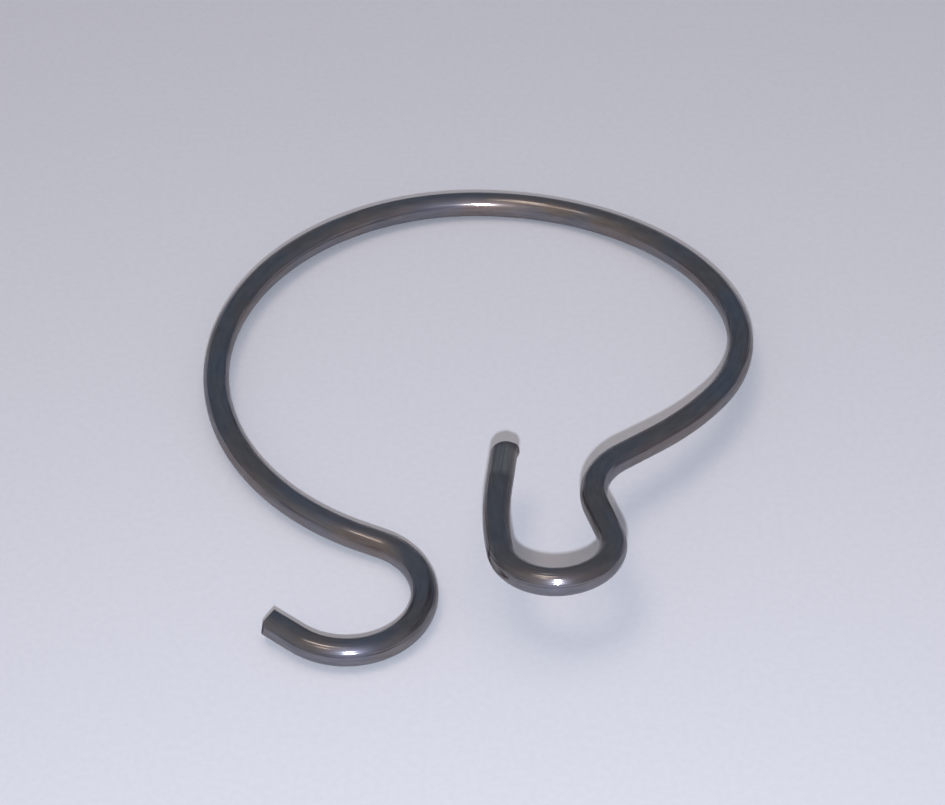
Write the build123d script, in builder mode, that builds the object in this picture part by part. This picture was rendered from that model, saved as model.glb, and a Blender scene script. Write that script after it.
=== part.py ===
from build123d import *
import os

# A hitch clip bent from one length of round spring wire, lying as it rests on a table.
# Millimetres and degrees, +Z up. The origin is the centre of the round loop, on the surface
# that the clip rests on. +Y points from the centre to the back of the loop.

# Wire
wire_diameter = 2.0

# Cropped ends: the lean of each cut and the broken edge round it. The stock that is cropped off
# is long enough for any lean under 45 degrees.
hook_crop_lean = 12.0
leg_crop_lean = 8.0
end_break = 0.12
crop_stock = wire_diameter / 2

# Round loop, which turns both ways from its back
loop_radius = 20.5
loop_left_angle = 155.5
loop_right_angle = 74.0

# J hook on the left, in the plane of the loop's left half
hook_lead = 1.6
hook_radius = 5.5
hook_angle = 193.0
hook_tail = 2.7

# Shoulder on the right, where the loop closes in and then turns back
corner_radius = 16.0
corner_angle = 50.0
shoulder_radius = 26.0
shoulder_angle = 15.5
shoulder_run = 3.4
reverse_radius = 6.0
reverse_angle = 64.5
reverse_run = 3.2

# U finger and its free leg
finger_radius = 3.95
finger_angle = 187.0
leg_bow_radius = 30.0
leg_bow_angle = 13.7
leg_end_length = 4.55

# Twist between the bends, and how the clip leans when it lies down
right_side_lift = 7.7
finger_roll = 3.0
resting_lean = 1.6


def rolled(plane, angle):
    """The plane turned by this angle about its own X axis, which runs along the wire."""
    wire_axis = Axis(plane.origin, plane.x_dir)
    return Plane(plane.origin, x_dir=plane.x_dir, z_dir=plane.z_dir.rotate(wire_axis, angle))


def back_of_loop(height):
    """The plane of the loop's left half, set at the back of the loop with the axis at this height."""
    centre = Plane((0, 0, height)).rotated((0, resting_lean, 0))
    return Plane(centre.from_local_coords((0, loop_radius)), x_dir=centre.x_dir, z_dir=centre.z_dir)


def bend_left_side(back):
    """The loop's left half and the J hook, all in one plane."""
    with BuildLine(back) as side:
        loop = JernArc((0, 0), (-1, 0), loop_radius, loop_left_angle)
        lead = Line(loop @ 1, loop @ 1 + (loop % 1) * hook_lead)
        hook = JernArc(lead @ 1, lead % 1, hook_radius, -hook_angle)
        Line(hook @ 1, hook @ 1 + (hook % 1) * (hook_tail + crop_stock))
    return side.line


def bend_right_side(back):
    """The loop's right half and the shoulder, lifted about the tangent at the back of the loop."""
    lifted = rolled(back, -right_side_lift)
    with BuildLine(lifted) as side:
        loop = JernArc((0, 0), (1, 0), loop_radius, -loop_right_angle)
        corner = JernArc(loop @ 1, loop % 1, corner_radius, -corner_angle)
        shoulder = JernArc(corner @ 1, corner % 1, shoulder_radius, -shoulder_angle)
        run = Line(shoulder @ 1, shoulder @ 1 + (shoulder % 1) * shoulder_run)
        reverse = JernArc(run @ 1, run % 1, reverse_radius, reverse_angle)
        drop = Line(reverse @ 1, reverse @ 1 + (reverse % 1) * reverse_run)
    finger_plane = rolled(Plane(drop @ 1, x_dir=drop % 1, z_dir=lifted.z_dir), finger_roll)
    return side.line, finger_plane


def bend_finger(finger_plane):
    """The U finger, and its free leg, which bows in a little and ends straight."""
    with BuildLine(finger_plane) as side:
        finger = JernArc((0, 0), (1, 0), finger_radius, -finger_angle)
        bow = JernArc(finger @ 1, finger % 1, leg_bow_radius, -leg_bow_angle)
        Line(bow @ 1, bow @ 1 + (bow % 1) * (leg_end_length + crop_stock))
    return side.line


def crop_plane(stretch, bend_plane, lean):
    """The plane that a stretch is cropped on, which leaves the wire longer on the inside of its bend."""
    outwards = stretch % 1
    cut = stretch @ 1 - outwards * crop_stock
    return Plane(cut, z_dir=outwards.rotate(Axis(cut, bend_plane.z_dir), lean))


def bend_wire(height):
    """The centre line of the whole wire, with its stock, and the planes that its two ends are cropped on."""
    back = back_of_loop(height)
    left_side = bend_left_side(back)
    right_side, finger_plane = bend_right_side(back)
    finger = bend_finger(finger_plane)
    with BuildLine() as route:
        add([left_side, right_side, finger])
    hook_crop = crop_plane(left_side, back, hook_crop_lean)
    leg_crop = crop_plane(finger, finger_plane, leg_crop_lean)
    return route.wire(), [hook_crop, leg_crop]


# The wire lies with its lowest point on the surface
sagging_line, _ = bend_wire(0)
centre_line, crops = bend_wire(wire_diameter / 2 - sagging_line.bounding_box().min.Z)

with BuildPart() as spring_wire:
    with BuildSketch(Plane(centre_line @ 0, z_dir=centre_line % 0)):
        Circle(wire_diameter / 2)
    sweep(path=centre_line)
    for crop in crops:
        with BuildSketch(crop):
            Circle(wire_diameter)
        extrude(amount=2 * crop_stock, mode=Mode.SUBTRACT)
    cut_faces = spring_wire.faces().filter_by(GeomType.PLANE)
    chamfer(cut_faces.edges(), end_break)

spring_wire.part.label = "spring_wire"

os.makedirs("parts", exist_ok=True)
export_step(spring_wire.part, "parts/spring_wire.step")
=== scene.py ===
"""A hitch clip bent from dark spring wire, dressed for the photograph's view.

The wire is one surface: a round profile carried along the route of its bends, from the cropped end of
the J hook to the cropped tip of the free leg. Lengths are millimetres until a mesh is made.
"""

import logging
import math
from dataclasses import dataclass, field
from enum import Enum

import bpy
import numpy as np
from mathutils import Matrix, Vector


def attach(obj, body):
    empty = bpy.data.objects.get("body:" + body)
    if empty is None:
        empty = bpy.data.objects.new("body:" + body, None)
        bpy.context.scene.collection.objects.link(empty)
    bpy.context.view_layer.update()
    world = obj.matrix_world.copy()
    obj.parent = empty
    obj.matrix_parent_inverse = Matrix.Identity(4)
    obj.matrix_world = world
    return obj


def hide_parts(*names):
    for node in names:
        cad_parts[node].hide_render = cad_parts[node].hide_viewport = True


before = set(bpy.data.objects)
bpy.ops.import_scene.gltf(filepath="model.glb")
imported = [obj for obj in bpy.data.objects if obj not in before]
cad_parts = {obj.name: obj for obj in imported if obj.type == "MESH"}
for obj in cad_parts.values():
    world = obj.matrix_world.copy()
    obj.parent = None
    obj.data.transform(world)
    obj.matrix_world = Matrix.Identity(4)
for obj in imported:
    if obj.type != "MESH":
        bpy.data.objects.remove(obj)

MM = 0.001
TURN = 2 * math.pi
PHOTO_WIDTH = 945

# Two planes whose normals differ by less than this count as one
SAME_PLANE = 1e-9

# A Mix node's settings for colours, and the place of its colour among its outputs
MIX_COLOURS = {"data_type": "RGBA"}
MULTIPLY_COLOURS = {"data_type": "RGBA", "blend_type": "MULTIPLY"}
MIXED_COLOUR = 2

log = logging.getLogger("hitch_clip")


def linear(hex_colour: str) -> tuple[float, float, float, float]:
    """Turns an sRGB colour into the linear one that a shader takes.

    Args:
        hex_colour: The colour as six hex digits after a hash.

    Returns:
        Red, green, blue and an alpha of 1. A channel is its share over 12.92 when it is dark, and
        otherwise ((share + 0.055) / 1.055) to the power 2.4.
    """
    shares = [int(hex_colour[i:i + 2], 16) / 255 for i in (1, 3, 5)]
    channels = [s / 12.92 if s <= 0.04045 else ((s + 0.055) / 1.055) ** 2.4 for s in shares]
    return (*channels, 1.0)


def units(vectors: np.ndarray) -> np.ndarray:
    """Scales a vector, or each row of several, to length 1."""
    return vectors / np.linalg.norm(vectors, axis=-1, keepdims=True)


def turned(vector: np.ndarray, axis: np.ndarray, degrees: float) -> np.ndarray:
    """Turns a vector about a unit axis, by the right-hand rule.

    Args:
        vector: What is turned.
        axis: The unit axis.
        degrees: The angle.

    Returns:
        The turned vector: its part along the axis stays, and the rest goes round by cosine and sine.
    """
    angle = math.radians(degrees)
    along = axis * (vector @ axis)
    return along + (vector - along) * math.cos(angle) + np.cross(axis, vector) * math.sin(angle)


def smooth_step(low: float, high: float, value: np.ndarray) -> np.ndarray:
    """A ramp from 0 at low to 1 at high that starts and ends level: 3 t squared less 2 t cubed."""
    t = np.clip((value - low) / (high - low), 0.0, 1.0)
    return t * t * (3 - 2 * t)


def around(angle: np.ndarray, middle: float) -> np.ndarray:
    """How far each angle is from a middle one, the short way round."""
    return np.abs(np.angle(np.exp(1j * (angle - middle))))


def resampled(values: np.ndarray, travel: np.ndarray, at: np.ndarray) -> np.ndarray:
    """Reads a line's rows of three numbers at other distances along it, straight from row to row."""
    return np.stack([np.interp(at, travel, values[:, k]) for k in range(3)], axis=1)


@dataclass(frozen=True)
class Bend:
    """One bend of the wire and the straight run after it. A turn to the left is positive."""

    radius: float
    angle: float
    run: float = 0.0
    roll_before: float = 0.0


@dataclass
class Station:
    """Where the wire has got to: its place, the way it runs, and the normal of the plane it bends in."""

    place: np.ndarray
    along: np.ndarray
    normal: np.ndarray


@dataclass
class Line:
    """A stretch of the wire's centre line: one row for each point."""

    places: np.ndarray
    alongs: np.ndarray
    normals: np.ndarray

    def reversed(self) -> "Line":
        """The same stretch, walked the other way."""
        return Line(self.places[::-1], -self.alongs[::-1], self.normals[::-1])

    def travel(self) -> np.ndarray:
        """How far along the line each point is."""
        return np.r_[0.0, np.cumsum(np.linalg.norm(np.diff(self.places, axis=0), axis=1))]


def walk(start: Station, bends: tuple[Bend, ...], step: float) -> Line:
    """Walks the wire's centre line through its bends.

    A bend of radius r through angle a goes from its start by r sin a along the wire and by
    r (1 - cos a) to the side that it turns to, and the way along turns with a.

    Args:
        start: Where the walk starts.
        bends: The bends in order.
        step: The longest step between two points.

    Returns:
        The line, with its first point at the start.
    """
    place, along, normal = start.place, start.along, start.normal
    places, alongs, normals = [place[None]], [along[None]], [normal[None]]
    for bend in bends:
        normal = turned(normal, along, bend.roll_before)
        side = np.cross(normal, along) * math.copysign(1.0, bend.angle)
        whole = math.radians(abs(bend.angle))
        a = np.linspace(0, whole, math.ceil(bend.radius * whole / step) + 1)[1:, None]
        places.append(place + bend.radius * (np.sin(a) * along + (1 - np.cos(a)) * side))
        alongs.append(np.cos(a) * along + np.sin(a) * side)
        place, along = places[-1][-1], alongs[-1][-1]
        if bend.run > 0:
            d = np.linspace(0, bend.run, math.ceil(bend.run / step) + 1)[1:, None]
            places.append(place + d * along)
            alongs.append(np.repeat(along[None], len(d), axis=0))
            place = places[-1][-1]
        rows = sum(map(len, places)) - sum(map(len, normals))
        normals.append(np.repeat(normal[None], rows, axis=0))
    return Line(np.vstack(places), np.vstack(alongs), np.vstack(normals))


def add(tree: bpy.types.NodeTree, kind: str, settings: dict[str, str | bool] | None = None,
        **inputs: object) -> bpy.types.Node:
    """Adds a node with its settings, values and links.

    Args:
        tree: The node tree.
        kind: The node's type.
        settings: Attributes of the node itself.
        inputs: For each input, by its name with _ for a space, or by _ and its number: a value, or the
            output socket that feeds it.

    Returns:
        The node.
    """
    node = tree.nodes.new(kind)
    for key, value in (settings or {}).items():
        setattr(node, key, value)
    for key, value in inputs.items():
        socket = node.inputs[int(key[1:])] if key.startswith("_") else node.inputs[key.replace("_", " ")]
        if isinstance(value, bpy.types.NodeSocket):
            tree.links.new(value, socket)
        else:
            socket.default_value = value
    return node


@dataclass(frozen=True)
class Span:
    """A stretch of a value, and the stretch that it is mapped on to and held within."""

    low: float
    high: float
    to_low: float = 0.0
    to_high: float = 1.0

    def limits(self) -> dict[str, float]:
        """The four limits, by the names that a node takes them by."""
        return {"From_Min": self.low, "From_Max": self.high, "To_Min": self.to_low, "To_Max": self.to_high}


@dataclass(frozen=True)
class Pattern:
    """Noise on the straightened wire: how wide and long its features are, and where it starts."""

    width: float
    length: float
    detail: float
    start: float

    def draw(self, tree: bpy.types.NodeTree, straight: bpy.types.NodeSocket) -> bpy.types.NodeSocket:
        """Adds the pattern's nodes.

        Args:
            tree: The node tree.
            straight: The place on the straightened wire, in millimetres.

        Returns:
            The pattern's value, from 0 to 1.
        """
        stretched = add(tree, "ShaderNodeMapping", Vector=straight, Location=(self.start,) * 3,
                        Scale=(1 / self.width, 1 / self.width, 1 / self.length)).outputs["Vector"]
        noise = add(tree, "ShaderNodeTexNoise", Vector=stretched, Scale=1.0, Detail=self.detail)
        return noise.outputs["Fac"]


@dataclass(frozen=True)
class Finish:
    """What every finish has: the name of the real material."""

    name: str

    def new_material(self) -> tuple[bpy.types.Material, bpy.types.NodeTree]:
        """Makes an empty node material of this name.

        Returns:
            The material and its node tree.
        """
        material = bpy.data.materials.new(self.name)
        material.use_nodes = True
        material.node_tree.nodes.clear()
        return material, material.node_tree


@dataclass(frozen=True)
class OilTemperedWire(Finish):
    """Oil-tempered spring wire: drawn through a die, hardened in oil and tempered.

    The draw leaves fine lines along the wire, and the tempering a thin dark oxide, bluish where it is thick
    and brown where it is thin. The oxide is glassy, so a lamp makes a small sharp glint that the draw lines
    spread across the wire. Bare steel shows where it was rubbed, and the cropped ends are dull and grey.
    """

    name: str = "oil_tempered_spring_steel"
    thick_oxide: str = "#4C4B5A"
    thin_oxide: str = "#63534F"
    bare_steel: str = "#B2ADA8"
    sheared: str = "#8C898D"
    edge_tint: str = "#84848C"

    # The metal under the oxide: brushed by the draw, a quarter turn off the way that its gloss spreads, and
    # rougher where it was rubbed
    roughness: Span = Span(0.3, 0.7, to_low=0.41, to_high=0.52)
    rubbed_roughness: float = 0.12
    brushing: float = 0.5
    brushed_turn: float = 0.25

    # The oxide as a clear skin: its share where it is thick and where it is thin, its gloss, and what the
    # cuts, the rubbed places and the mottle leave of it
    skin: Span = Span(0.0, 1.0, to_low=0.85, to_high=0.76)
    skin_roughness: float = 0.13
    skin_ior: float = 2.6
    skin_off_cuts: Span = Span(0.0, 1.0, to_low=1.0, to_high=0.0)
    skin_off_rubs: Span = Span(0.0, 1.0, to_low=1.0, to_high=0.3)
    skin_mottle: Span = Span(0.3, 0.7, to_low=0.84, to_high=1.1)

    # Real draw lines are some 0.03 mm wide. These are wider, so that they show
    draw_lines: Pattern = Pattern(width=0.18, length=9.0, detail=1.0, start=3.1)
    draw_line_depth: float = 0.045
    draw_line_depth_in_metal: float = 0.01125
    rub_follows_lines: Span = Span(0.35, 0.6, to_low=0.4, to_high=1.1)

    # The oxide's patches have the size that the photograph shows
    oxide_patches: Pattern = Pattern(width=3.5, length=7.0, detail=2.0, start=7.7)
    patch_edge: Span = Span(0.4, 0.6)

    # Real scale pits are some 0.05 mm across. These are larger, so that they show
    mottle: Pattern = Pattern(width=0.35, length=1.4, detail=4.0, start=1.3)
    mottle_shade: Span = Span(0.3, 0.7, to_low=0.88, to_high=1.08)
    pit_depth: float = 0.006
    pit_strength: float = 0.25

    def build(self) -> bpy.types.Material:
        """Makes the material from patterns on the straightened wire.

        Returns:
            The material: dark brushed metal under a glossy skin whose strength is that of the oxide.
        """
        material, tree = self.new_material()
        straight = add(tree, "ShaderNodeAttribute", {"attribute_name": Wire.STRAIGHT}).outputs["Vector"]
        worn = add(tree, "ShaderNodeAttribute", {"attribute_name": Wire.WORN}).outputs["Fac"]
        cropped = add(tree, "ShaderNodeAttribute", {"attribute_name": Wire.CROPPED}).outputs["Fac"]
        lines = self.draw_lines.draw(tree, straight)
        mottle = self.mottle.draw(tree, straight)
        thinner = add(tree, "ShaderNodeMapRange", Value=self.oxide_patches.draw(tree, straight),
                      **self.patch_edge.limits()).outputs["Result"]
        lined = add(tree, "ShaderNodeMapRange", Value=lines, **self.rub_follows_lines.limits())
        rubbed = add(tree, "ShaderNodeMath", {"operation": "MULTIPLY", "use_clamp": True}, _0=worn,
                     _1=lined.outputs["Result"]).outputs["Value"]

        grain = add(tree, "ShaderNodeMapRange", Value=lines, **self.roughness.limits()).outputs["Result"]
        rough = add(tree, "ShaderNodeMath", {"operation": "MULTIPLY_ADD"}, _0=rubbed,
                    _1=self.rubbed_roughness, _2=grain).outputs["Value"]
        pitted = add(tree, "ShaderNodeBump", Strength=self.pit_strength, Distance=self.pit_depth * MM,
                     Height=mottle).outputs["Normal"]
        drawn = add(tree, "ShaderNodeBump", Strength=1.0, Distance=self.draw_line_depth_in_metal * MM,
                    Height=lines, Normal=pitted).outputs["Normal"]
        gloss = add(tree, "ShaderNodeBump", Strength=1.0, Distance=self.draw_line_depth * MM,
                    Height=lines).outputs["Normal"]
        along = add(tree, "ShaderNodeTangent",
                    {"direction_type": "UV_MAP", "uv_map": Wire.UNROLLED}).outputs["Tangent"]
        shader = add(tree, "ShaderNodeBsdfPrincipled",
                     Base_Color=self.colour(tree, thinner, mottle, rubbed, cropped), Metallic=1.0,
                     Roughness=rough, Normal=drawn, Anisotropic=self.brushing,
                     Anisotropic_Rotation=self.brushed_turn, Tangent=along,
                     Specular_Tint=linear(self.edge_tint),
                     Coat_Weight=self.skin_share(tree, thinner, mottle, rubbed, cropped),
                     Coat_Roughness=self.skin_roughness, Coat_IOR=self.skin_ior, Coat_Normal=gloss)
        add(tree, "ShaderNodeOutputMaterial", Surface=shader.outputs["BSDF"])
        return material

    def colour(self, tree: bpy.types.NodeTree, thinner: bpy.types.NodeSocket, mottle: bpy.types.NodeSocket,
               rubbed: bpy.types.NodeSocket, cropped: bpy.types.NodeSocket) -> bpy.types.NodeSocket:
        """Adds the metal's colour.

        Args:
            tree: The node tree.
            thinner: How thin the oxide is.
            mottle: The mottle's value.
            rubbed: How bare it is rubbed.
            cropped: 1 on the cropped ends.

        Returns:
            The oxide's colour, mottled, with bare steel where it is rubbed and the cut's own grey.
        """
        oxide = add(tree, "ShaderNodeMix", MIX_COLOURS, _0=thinner, _6=linear(self.thick_oxide),
                    _7=linear(self.thin_oxide)).outputs[MIXED_COLOUR]
        shade = add(tree, "ShaderNodeMapRange", Value=mottle, **self.mottle_shade.limits())
        mottled = add(tree, "ShaderNodeMix", MULTIPLY_COLOURS, _0=1.0, _6=oxide,
                      _7=shade.outputs["Result"]).outputs[MIXED_COLOUR]
        whole = add(tree, "ShaderNodeMix", MIX_COLOURS, _0=rubbed, _6=mottled,
                    _7=linear(self.bare_steel)).outputs[MIXED_COLOUR]
        return add(tree, "ShaderNodeMix", MIX_COLOURS, _0=cropped, _6=whole,
                   _7=linear(self.sheared)).outputs[MIXED_COLOUR]

    def skin_share(self, tree: bpy.types.NodeTree, thinner: bpy.types.NodeSocket,
                   mottle: bpy.types.NodeSocket, rubbed: bpy.types.NodeSocket,
                   cropped: bpy.types.NodeSocket) -> bpy.types.NodeSocket:
        """Adds the strength of the oxide's skin.

        Args:
            tree: The node tree.
            thinner: How thin the oxide is.
            mottle: The mottle's value.
            rubbed: How bare it is rubbed.
            cropped: 1 on the cropped ends.

        Returns:
            The product of four shares: none on the cuts, less where it is thin, mottled or rubbed.
        """
        spans = ((cropped, self.skin_off_cuts), (thinner, self.skin), (mottle, self.skin_mottle),
                 (rubbed, self.skin_off_rubs))
        product, *others = [add(tree, "ShaderNodeMapRange", Value=value, **span.limits()).outputs["Result"]
                            for value, span in spans]
        for share in others:
            product = add(tree, "ShaderNodeMath", {"operation": "MULTIPLY"}, _0=product,
                          _1=share).outputs["Value"]
        return product


@dataclass(frozen=True)
class MattPaper(Finish):
    """The pale sheet under the clip: uncoated paper, which scatters the light with hardly any gloss."""

    name: str = "matt_paper"
    colour: str = "#D2D3DB"
    shade: str = "#CFD0D8"
    roughness: float = 0.9
    gloss_level: float = 0.15

    # Real fibres are some 0.03 mm thick. Their clouds are drawn this wide, so that they show
    fibre_clouds: float = 0.5
    cloud_detail: float = 4.0
    cloud_edge: Span = Span(0.35, 0.65)

    def build(self) -> bpy.types.Material:
        """Makes the material.

        Returns:
            The material: two close greys, mixed by the fibre clouds.
        """
        material, tree = self.new_material()
        place = add(tree, "ShaderNodeTexCoord").outputs["Object"]
        clouds = add(tree, "ShaderNodeTexNoise", Vector=place, Scale=1 / (self.fibre_clouds * MM),
                     Detail=self.cloud_detail).outputs["Fac"]
        share = add(tree, "ShaderNodeMapRange", Value=clouds, **self.cloud_edge.limits()).outputs["Result"]
        colour = add(tree, "ShaderNodeMix", MIX_COLOURS, _0=share, _6=linear(self.shade),
                     _7=linear(self.colour)).outputs[MIXED_COLOUR]
        shader = add(tree, "ShaderNodeBsdfPrincipled", Base_Color=colour, Roughness=self.roughness,
                     Specular_IOR_Level=self.gloss_level)
        add(tree, "ShaderNodeOutputMaterial", Surface=shader.outputs["BSDF"])
        return material


class End(Enum):
    """The wire's two cropped ends, each with its row of the centre line and of the rings."""

    HOOK = 0
    LEG = -1

    def outwards(self) -> float:
        """1 where the way along the wire goes out of this end, and -1 where it comes in."""
        return 1.0 if self is End.LEG else -1.0


@dataclass(frozen=True)
class Facet:
    """One plane of a cut. It falls away at this slope to one side, measured from the bend's inside upwards.

    The offset is how far it stands out where it crosses the wire's middle.
    """

    offset: float
    slope: float
    side: float


@dataclass(frozen=True)
class Crop:
    """How one end was nipped: its facets, its broken edge, and the burr that the cutter left on a side.

    The fade is the length of wire over which the facets' shape dies away. The burr's spread is in degrees,
    and its start and end are shares of that spread.
    """

    facets: tuple[Facet, ...]
    edge_break: float
    fade: float = 1.5
    burr_height: float = 0.0
    burr_reach: float = 1.0
    burr_spread: float = 50.0
    burr_start: float = 0.5
    burr_end: float = 1.2

    def stand(self, to_inside: np.ndarray, up: np.ndarray) -> np.ndarray:
        """How far the cut stands out past the wire's end.

        Args:
            to_inside: Distance from the wire's middle to the inside of the bend.
            up: Distance from the wire's middle upwards.

        Returns:
            The lowest of the facets' planes. A plane falls by the tangent of its slope for each millimetre
            to its side.
        """
        planes = []
        for facet in self.facets:
            side = math.radians(facet.side)
            to_side = to_inside * math.cos(side) + up * math.sin(side)
            planes.append(facet.offset - math.tan(math.radians(facet.slope)) * to_side)
        return np.min(planes, axis=0)

    def burr(self, depth: np.ndarray, off_side: np.ndarray) -> np.ndarray:
        """How far the burr stands out of the wall.

        Args:
            depth: Distance from the wire's end.
            off_side: Angle round the wire from the burr's side.

        Returns:
            The burr's height, let down by a smooth step over its reach and by another over its spread.
        """
        spread = math.radians(self.burr_spread)
        lip = 1 - smooth_step(0.0, self.burr_reach, depth)
        near_side = 1 - smooth_step(self.burr_start, self.burr_end, off_side / spread)
        return self.burr_height * lip * near_side


@dataclass(frozen=True)
class Rub:
    """A rubbed stretch: its middle's distance from the leg's tip, its length, its side and how bare it is.

    Each fade is where a smooth step starts and ends, as a share of half the length or of the spread.
    """

    from_tip: float
    length: float
    side: float
    spread: float
    bare: float
    length_fade: tuple[float, float] = (0.7, 1.3)
    side_fade: tuple[float, float] = (0.6, 1.0)

    def share(self, from_tip: np.ndarray, angle: np.ndarray) -> np.ndarray:
        """How bare each point is.

        Args:
            from_tip: Distance from the leg's tip.
            angle: Angle round the wire.

        Returns:
            How bare the stretch is, let down by smooth steps towards its ends and its sides.
        """
        off_middle = np.abs(from_tip - self.from_tip) / (self.length / 2)
        off_side = around(angle, math.radians(self.side)) / math.radians(self.spread)
        return self.bare * (1 - smooth_step(*self.length_fade, off_middle)) * (
            1 - smooth_step(*self.side_fade, off_side))


@dataclass
class Rings:
    """One value for each ring of points: how far it is along the wire, and its radius."""

    at: np.ndarray
    radius: np.ndarray


@dataclass
class Wire:
    """The bent wire, as one closed surface. Radii are those of its middle, and angles are degrees."""

    STRAIGHT = "straight_mm"
    WORN = "worn"
    CROPPED = "cropped"
    UNROLLED = "wire_uv"

    diameter: float = 2.0

    # Round loop, which turns both ways from its back
    loop_radius: float = 20.5
    loop_left_angle: float = 155.5
    loop_right_angle: float = 74.0

    # J hook on the left
    hook_lead: float = 1.6
    hook_radius: float = 5.5
    hook_angle: float = 193.0
    hook_tail: float = 2.7

    # Shoulder on the right, where the loop closes in and then turns back
    corner_radius: float = 16.0
    corner_angle: float = 50.0
    shoulder_radius: float = 26.0
    shoulder_angle: float = 15.5
    shoulder_run: float = 3.4
    reverse_radius: float = 6.0
    reverse_angle: float = 64.5
    reverse_run: float = 3.2

    # U finger and its free leg
    finger_radius: float = 3.95
    finger_angle: float = 187.0
    leg_bow_radius: float = 30.0
    leg_bow_angle: float = 13.7
    leg_end_length: float = 4.55

    # Twist between the bends, and how the clip leans when it lies down
    right_side_lift: float = 7.7
    finger_roll: float = 3.0
    resting_lean: float = 1.6

    hook_crop: Crop = Crop(
        facets=(Facet(offset=0.2, slope=0.0, side=0.0),
                Facet(offset=0.415, slope=31.0, side=103.0),
                Facet(offset=0.72, slope=47.0, side=166.0)),
        edge_break=0.05)
    leg_crop: Crop = Crop(
        facets=(Facet(offset=-0.02, slope=14.0, side=180.0),),
        edge_break=0.07, burr_height=0.13, burr_reach=0.55)
    rubs: tuple[Rub, ...] = (
        Rub(from_tip=2.1, length=3.2, side=0.0, spread=360.0, bare=0.7),
        Rub(from_tip=1.7, length=2.8, side=0.0, spread=60.0, bare=0.95),
        Rub(from_tip=31.0, length=2.4, side=170.0, spread=25.0, bare=0.5),
    )

    # The grid: the step along the wire, the points round it, and the rings of a cut and of its edge
    step: float = 0.16
    round_points: int = 64
    cap_rows: int = 24
    cap_middle: float = 0.02
    edge_rows: int = 6

    # A ring under this share of the wire's radius belongs to a cut
    cut_share: float = 0.96

    # A face with a corner past this share of a turn lies at the seam of the UV map
    seam_share: float = 0.9

    finish: OilTemperedWire = field(default_factory=OilTemperedWire)

    def hook_side(self) -> tuple[Bend, ...]:
        """The bends from the back of the loop to the hook's end."""
        return (Bend(self.loop_radius, self.loop_left_angle, self.hook_lead),
                Bend(self.hook_radius, -self.hook_angle, self.hook_tail))

    def finger_side(self) -> tuple[Bend, ...]:
        """The bends from the back of the loop to the free leg's tip."""
        return (Bend(self.loop_radius, -self.loop_right_angle),
                Bend(self.corner_radius, -self.corner_angle),
                Bend(self.shoulder_radius, -self.shoulder_angle, self.shoulder_run),
                Bend(self.reverse_radius, self.reverse_angle, self.reverse_run),
                Bend(self.finger_radius, -self.finger_angle, roll_before=self.finger_roll),
                Bend(self.leg_bow_radius, -self.leg_bow_angle, self.leg_end_length))

    def centre_line(self) -> Line:
        """Walks the wire's middle from the hook's end to the leg's, resting on the floor.

        Returns:
            The line. Both sides start at the back of the loop, and the hook's side is turned round.
        """
        to_back = np.array([0.0, 1.0, 0.0])
        across = turned(np.array([1.0, 0.0, 0.0]), to_back, self.resting_lean)
        normal = turned(np.array([0.0, 0.0, 1.0]), to_back, self.resting_lean)
        back = to_back * self.loop_radius
        hook_side = walk(Station(back, -across, normal), self.hook_side(), self.step).reversed()
        lifted = turned(normal, across, -self.right_side_lift)
        finger_side = walk(Station(back, across, lifted), self.finger_side(), self.step)
        line = Line(np.vstack([hook_side.places, finger_side.places[1:]]),
                    np.vstack([hook_side.alongs, finger_side.alongs[1:]]),
                    np.vstack([hook_side.normals, finger_side.normals[1:]]))
        line.places[:, 2] += self.diameter / 2 - line.places[:, 2].min()
        return line

    def untwisted_sides(self, line: Line) -> np.ndarray:
        """Works out the side vector of the profile, with the rolls between the bends taken out.

        Args:
            line: The centre line.

        Returns:
            One unit vector for each point: the bend plane's own side, turned back by all the roll so far.
        """
        sides = np.cross(line.normals, line.alongs)
        overs = line.normals
        carried = np.einsum("ij,ij->i", overs[1:], sides[:-1])
        kept = np.einsum("ij,ij->i", sides[1:], sides[:-1])
        same_plane = np.abs(np.einsum("ij,ij->i", overs[1:], overs[:-1])) > 1 - SAME_PLANE
        roll = np.cumsum(np.r_[0.0, np.where(same_plane, 0.0, np.arctan2(carried, kept))])[:, None]
        return np.cos(roll) * sides + np.sin(roll) * overs

    def cut_rings(self, crop: Crop) -> Rings:
        """Spaces the rings of one cut.

        Args:
            crop: How the end was cropped.

        Returns:
            The rings from the cut's middle out, all at the wire's end, and then round its broken edge,
            which is a quarter circle.
        """
        full = self.diameter / 2
        share = np.linspace(self.cap_middle, 1.0, self.cap_rows)
        turn = np.linspace(0, TURN / 4, self.edge_rows + 1)[1:]
        at = np.r_[np.zeros(self.cap_rows), crop.edge_break * (1 - np.cos(turn))]
        radius = np.r_[share * (full - crop.edge_break), full - crop.edge_break * (1 - np.sin(turn))]
        return Rings(at, radius)

    def rings(self, length: float) -> Rings:
        """Spaces all the rings: across each cut, round its broken edge, and along the wall.

        Args:
            length: The wire's length.

        Returns:
            The rings, from the middle of the hook's cut to the middle of the leg's.
        """
        hook, leg = self.cut_rings(self.hook_crop), self.cut_rings(self.leg_crop)
        wall_start, wall_end = self.hook_crop.edge_break, length - self.leg_crop.edge_break
        wall = np.linspace(wall_start, wall_end, math.ceil((wall_end - wall_start) / self.step))[1:-1]
        at = np.r_[hook.at, wall, length - leg.at[::-1]]
        radius = np.r_[hook.radius, np.full(len(wall), self.diameter / 2), leg.radius[::-1]]
        return Rings(at, radius)

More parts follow.
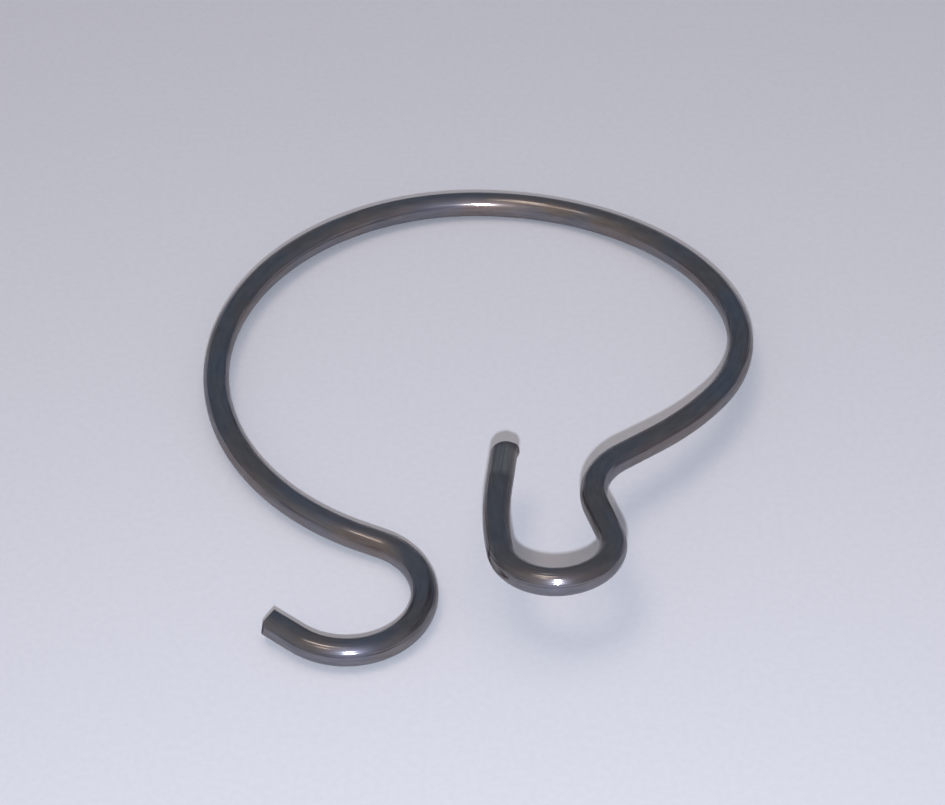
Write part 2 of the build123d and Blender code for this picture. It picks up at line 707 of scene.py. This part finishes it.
    def build(self) -> bpy.types.Object:
        """Makes the wire's surface.

        A point is its ring's middle, plus the radius times the cosine of its angle along the ring's side
        vector and the sine along the vector over it, plus what the cut stands out along the wire. The side
        vector is carried along the wire without twist, and made square to it.

        Returns:
            The object.
        """
        line = self.centre_line()
        travel = line.travel()
        length = travel[-1]
        rings = self.rings(length)
        angle = np.arange(self.round_points) * TURN / self.round_points
        place = resampled(line.places, travel, rings.at)
        along = units(resampled(line.alongs, travel, rings.at))
        side = resampled(self.untwisted_sides(line), travel, rings.at)
        side = units(side - along * (side * along).sum(1, keepdims=True))
        over = np.cross(along, side)

        plain = rings.radius[:, None] * np.ones(len(angle))
        radius = plain.copy()
        shift = np.zeros_like(plain)
        for end, crop in ((End.HOOK, self.hook_crop), (End.LEG, self.leg_crop)):
            depth = np.abs(rings.at - (length if end is End.LEG else 0.0))[:, None]
            inner = np.cross(line.alongs[end.value] * end.outwards(), line.normals[end.value])
            inner_angle = math.atan2(inner @ over[end.value], inner @ side[end.value])
            stand = crop.stand(plain * np.cos(angle - inner_angle), plain * np.sin(angle))
            shift += end.outwards() * (1 - smooth_step(0.0, crop.fade, depth)) * stand
            radius += crop.burr(depth, around(angle, inner_angle)) * plain / (self.diameter / 2)
        wall = place[:, None] + radius[..., None] * (
            np.cos(angle)[None, :, None] * side[:, None] + np.sin(angle)[None, :, None] * over[:, None])
        wall += shift[..., None] * along[:, None]

        from_tip = (length - rings.at)[:, None]
        worn = np.max([rub.share(from_tip, angle) for rub in self.rubs], axis=0)
        cropped = np.where(plain < self.diameter / 2 * self.cut_share, 1.0, 0.0)
        way = rings.at[:, None] + shift
        straight = np.stack([radius * np.cos(angle), radius * np.sin(angle), way], axis=-1)
        return self.closed_tube("wire_form", wall, straight, {self.WORN: worn, self.CROPPED: cropped},
                                rings.at / length)

    def closed_tube(self, name: str, wall: np.ndarray, straight: np.ndarray, shares: dict[str, np.ndarray],
                    way: np.ndarray) -> bpy.types.Object:
        """Makes one closed mesh from rings of points, with a point in the middle of each end.

        Args:
            name: The object's name.
            wall: The points, as rings by points by 3.
            straight: Each point's place on the straightened wire.
            shares: Attributes from 0 to 1 by name, with a value for each point.
            way: Each ring's share of the way along, for the UV map.

        Returns:
            The object, in metres, with its faces pointing outwards.
        """
        rings, points = wall.shape[:2]
        grid = np.arange(rings * points).reshape(rings, points)
        beside = np.roll(grid, -1, axis=1)
        quads = np.stack([grid[:-1], beside[:-1], beside[1:], grid[1:]], axis=-1).reshape(-1, 4)
        first, last = rings * points, rings * points + 1
        start = np.stack([np.full(points, first), beside[0], grid[0]], axis=-1)
        finish = np.stack([np.full(points, last), grid[-1], beside[-1]], axis=-1)
        places = np.vstack([wall.reshape(-1, 3), wall[0].mean(0), wall[-1].mean(0)]) * MM
        mesh = bpy.data.meshes.new(name)
        mesh.from_pydata(places.tolist(), [], quads.tolist() + start.tolist() + finish.tolist())
        mesh.polygons.foreach_set("use_smooth", np.ones(len(mesh.polygons), bool))

        unrolled = np.vstack([straight.reshape(-1, 3), straight[0].mean(0), straight[-1].mean(0)])
        place_on_wire = mesh.attributes.new(self.STRAIGHT, "FLOAT_VECTOR", "POINT")
        place_on_wire.data.foreach_set("vector", unrolled.astype(np.float32).ravel())
        for label, share in shares.items():
            values = np.r_[share.ravel(), share[0].mean(), share[-1].mean()].astype(np.float32)
            mesh.attributes.new(label, "FLOAT", "POINT").data.foreach_set("value", values)
        self.unroll(mesh, len(quads), way, points)
        mesh.materials.append(self.finish.build())
        mesh.update()
        piece = bpy.data.objects.new(name, mesh)
        bpy.context.scene.collection.objects.link(piece)
        return piece

    def unroll(self, mesh: bpy.types.Mesh, quads: int, way: np.ndarray, points: int) -> None:
        """Gives a tube its UV map: u runs along the wire, and v round it.

        Args:
            mesh: The tube, with its quads before the fans of its ends.
            quads: How many quads it has.
            way: Each ring's share of the way along.
            points: How many points a ring has.
        """
        corner = np.empty(len(mesh.loops), np.int32)
        mesh.loops.foreach_get("vertex_index", corner)
        u = np.r_[np.repeat(way, points), 0.0, 1.0][corner]
        v = np.r_[np.tile(np.arange(points) / points, len(way)), 0.5, 0.5][corner]
        at_seam = np.zeros(len(corner), bool)
        at_seam[:quads * 4] = np.repeat(v[:quads * 4].reshape(-1, 4).max(1) > self.seam_share, 4)
        v = np.where(at_seam & (v == 0.0), 1.0, v)
        uv = mesh.uv_layers.new(name=self.UNROLLED)
        uv.data.foreach_set("uv", np.stack([u, v], axis=-1).astype(np.float32).ravel())


@dataclass
class View:
    """The photograph's camera. Angles are degrees, and the aim is a point on the floor."""

    azimuth: float = -1.2728
    elevation: float = 42.8691
    roll: float = -1.5146
    aim: tuple[float, float] = (-0.5062, -2.7884)
    distance: float = 210.06
    focal_pixels: float = 2700.0
    sensor: float = 36.0
    nearest: float = 10.0
    farthest: float = 10000.0

    def axes(self) -> tuple[np.ndarray, np.ndarray, np.ndarray]:
        """Works out how the camera is turned.

        Returns:
            The picture's right, the picture's up, and the way the camera looks.
        """
        a, e = math.radians(self.azimuth), math.radians(self.elevation)
        ahead = np.array([math.sin(a) * math.cos(e), math.cos(a) * math.cos(e), -math.sin(e)])
        level = np.array([math.cos(a), -math.sin(a), 0.0])
        right = turned(level, ahead, -self.roll)
        return right, np.cross(right, ahead), ahead

    def target(self) -> np.ndarray:
        """The point on the floor that the camera aims at."""
        return np.array([*self.aim, 0.0])

    def place(self) -> np.ndarray:
        """Where the camera stands."""
        return self.target() - self.axes()[2] * self.distance

    def build(self) -> bpy.types.Object:
        """Makes the camera and sets it as the scene's.

        Returns:
            The camera.
        """
        right, up, ahead = self.axes()
        data = bpy.data.cameras.new("photo_view")
        data.sensor_width = self.sensor
        data.lens = self.focal_pixels / PHOTO_WIDTH * self.sensor
        data.clip_start = self.nearest * MM
        data.clip_end = self.farthest * MM
        camera = bpy.data.objects.new("photo_view", data)
        turn = Matrix(np.stack([right, up, -ahead], axis=1).tolist()).to_4x4()
        camera.matrix_world = Matrix.Translation(Vector(self.place() * MM)) @ turn
        bpy.context.scene.collection.objects.link(camera)
        bpy.context.scene.camera = camera
        return camera


@dataclass(frozen=True)
class Lamp:
    """A square lamp: its width, its power in watts, its colour, and whether a glossy surface mirrors it."""

    name: str
    width: float
    power: float
    colour: str
    mirrored: bool = True

    def build(self, place: np.ndarray, target: np.ndarray) -> bpy.types.Object:
        """Hangs the lamp.

        Args:
            place: Where it hangs.
            target: The point that it faces.

        Returns:
            The lamp.
        """
        data = bpy.data.lights.new(self.name, "AREA")
        data.shape = "SQUARE"
        data.size = self.width * MM
        data.energy = self.power
        data.color = linear(self.colour)[:3]
        lamp = bpy.data.objects.new(self.name, data)
        face = Vector(target - place).to_track_quat("-Z", "Y").to_matrix().to_4x4()
        lamp.matrix_world = Matrix.Translation(Vector(place * MM)) @ face
        lamp.visible_glossy = self.mirrored
        bpy.context.scene.collection.objects.link(lamp)
        return lamp


@dataclass
class Studio:
    """The sheet of paper, a small lamp under the lens, a soft and a fill lamp overhead, and the room."""

    view: View
    sheet_radius: float = 1500.0
    sheet_points: int = 96
    paper: MattPaper = field(default_factory=MattPaper)

    small_lamp: Lamp = Lamp("small_lamp", width=4.0, power=0.31, colour="#EEF5FF")
    small_lamp_drop: float = 16.0
    soft_lamp: Lamp = Lamp("soft_lamp", width=300.0, power=0.88, colour="#FFE9D5")
    soft_lamp_way: tuple[float, float, float] = (-0.22, -0.13, 0.967)
    soft_lamp_distance: float = 900.0

    # The wire would mirror the wide fill lamp as a bright bar, so the fill lights the matt paper alone
    fill_lamp: Lamp = Lamp("fill_lamp", width=700.0, power=1.5, colour="#FFE7DB", mirrored=False)
    fill_lamp_height: float = 900.0

    backdrop: str = "#CDCDD8"
    room_far: str = "#7B8794"
    room_near_left: str = "#B2AFAA"
    room_near_right: str = "#9A9BA1"
    room_low: str = "#6C707E"

    # Where the room's colours meet, as shares of the way to +X, +Y and +Z
    left_to_right: Span = Span(-0.5, 0.3)
    far_to_near: Span = Span(0.35, -0.45)
    high_to_low: Span = Span(0.3, 0.0)

    def build_sheet(self) -> bpy.types.Object:
        """Makes the sheet: a disc whose points go round a middle one.

        Returns:
            The sheet.
        """
        points = self.sheet_points
        each = np.arange(points)
        angle = each * TURN / points
        rim = np.stack([np.cos(angle), np.sin(angle), np.zeros(points)], axis=1) * self.sheet_radius * MM
        faces = np.stack([np.full(points, points), each, np.roll(each, -1)], axis=1)
        mesh = bpy.data.meshes.new("paper_sheet")
        mesh.from_pydata(np.vstack([rim, np.zeros(3)]).tolist(), [], faces.tolist())
        mesh.materials.append(self.paper.build())
        sheet = bpy.data.objects.new("paper_sheet", mesh)
        bpy.context.scene.collection.objects.link(sheet)
        return sheet

    def build_room(self) -> None:
        """Makes the world: a dim room, bluish far off, paler near the camera and dark low down.

        The camera itself sees the plain backdrop instead.
        """
        world = bpy.data.worlds.new("room")
        bpy.context.scene.world = world
        world.use_nodes = True
        tree = world.node_tree
        tree.nodes.clear()
        place = add(tree, "ShaderNodeTexCoord").outputs["Generated"]
        way = add(tree, "ShaderNodeSeparateXYZ", Vector=place).outputs
        spans = ((way["X"], self.left_to_right), (way["Y"], self.far_to_near), (way["Z"], self.high_to_low))
        right, near, low = (add(tree, "ShaderNodeMapRange", Value=value, **span.limits()).outputs["Result"]
                            for value, span in spans)
        seen = add(tree, "ShaderNodeLightPath").outputs["Is Camera Ray"]
        near_colour = add(tree, "ShaderNodeMix", MIX_COLOURS, _0=right, _6=linear(self.room_near_left),
                          _7=linear(self.room_near_right)).outputs[MIXED_COLOUR]
        colour = add(tree, "ShaderNodeMix", MIX_COLOURS, _0=near, _6=linear(self.room_far),
                     _7=near_colour).outputs[MIXED_COLOUR]
        for share, over in ((low, self.room_low), (seen, self.backdrop)):
            colour = add(tree, "ShaderNodeMix", MIX_COLOURS, _0=share, _6=colour,
                         _7=linear(over)).outputs[MIXED_COLOUR]
        light = add(tree, "ShaderNodeBackground", Color=colour, Strength=1.0)
        add(tree, "ShaderNodeOutputWorld", Surface=light.outputs["Background"])

    def build(self) -> bpy.types.Object:
        """Makes the whole studio.

        Returns:
            The sheet.
        """
        _, up, _ = self.view.axes()
        target = self.view.target()
        self.small_lamp.build(self.view.place() - up * self.small_lamp_drop, target)
        self.soft_lamp.build(units(np.array(self.soft_lamp_way)) * self.soft_lamp_distance, target)
        self.fill_lamp.build(np.array([0.0, 0.0, self.fill_lamp_height]), target)
        self.build_room()
        return self.build_sheet()


def main() -> None:
    """Builds the camera, the studio and the clip."""
    logging.basicConfig(level=logging.INFO, format="%(name)s: %(message)s")
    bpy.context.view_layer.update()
    bpy.context.scene.view_settings.view_transform = "Standard"

    view = View()
    view.build()
    sheet = Studio(view).build()
    log.info("%s: %d faces", sheet.name, len(sheet.data.polygons))

    wire = Wire().build()
    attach(wire, "root")
    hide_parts("spring_wire")
    log.info("%s: %d faces", wire.name, len(wire.data.polygons))


if __name__ == "__main__":
    main()
